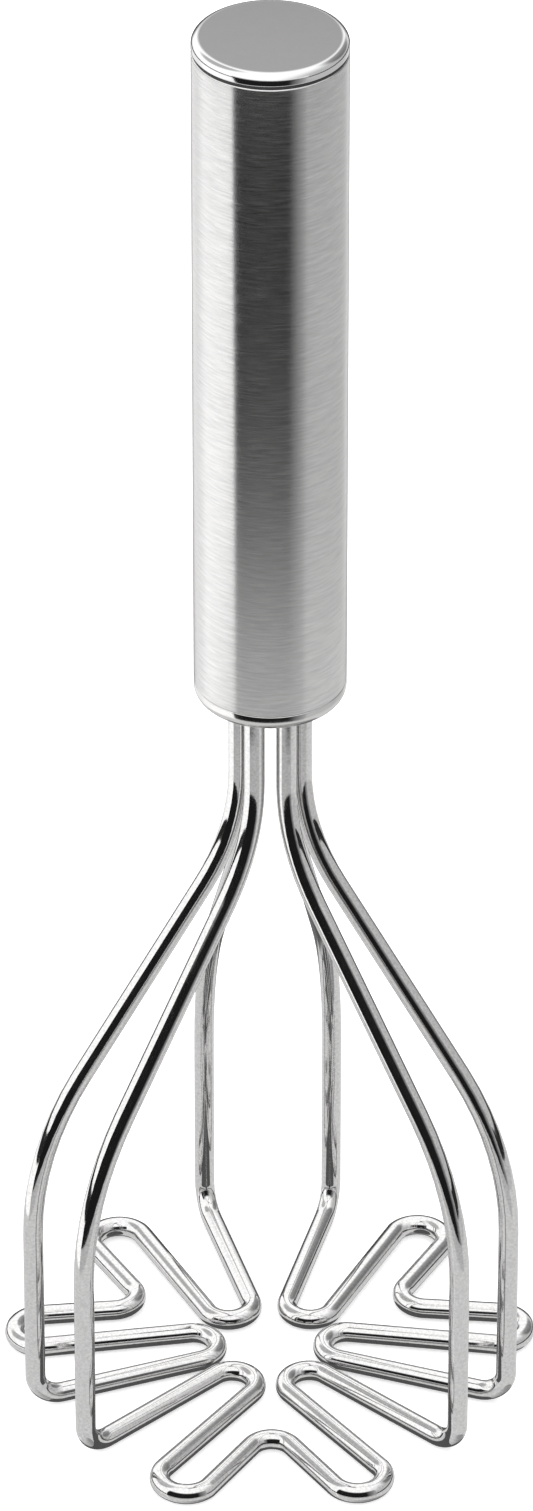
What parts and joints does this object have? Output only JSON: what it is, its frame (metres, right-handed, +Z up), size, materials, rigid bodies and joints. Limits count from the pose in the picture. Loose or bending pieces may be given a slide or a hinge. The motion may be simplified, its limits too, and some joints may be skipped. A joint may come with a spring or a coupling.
{
  "type": "potato masher",
  "caption": "Wire-headed hand masher: straight capped metal tube handle, tapered ferrule and bent wire legs that meet the table in a flower-shaped zigzag.",
  "frame": {"origin": "on the handle axis, at the plane that the wire head stands on", "axes": "+Z up the handle axis, -Y towards the middle of the front wire, X across it"},
  "size_m": [0.1016, 0.0958, 0.2889],
  "materials": {
    "brushed_tube": "stainless, fine brushing round the tube",
    "cap_steel": "stainless, matt flat face, polished rim",
    "seal_rubber": "matt black",
    "ferrule_steel": "stainless, polished",
    "plain_steel": "stainless, as machined and welded",
    "wire_steel": "stainless wire, bright polished"
  },
  "bodies": {
    "root": {"handle_tube": "brushed_tube", "top_cap": "cap_steel", "cap_seal_ring": "seal_rubber", "ferrule": "ferrule_steel", "anchor_disc": "plain_steel", "wire_welds": "plain_steel", "front_wire": "wire_steel", "left_wire": "wire_steel", "right_wire": "wire_steel"}
  },
  "joints": []
}
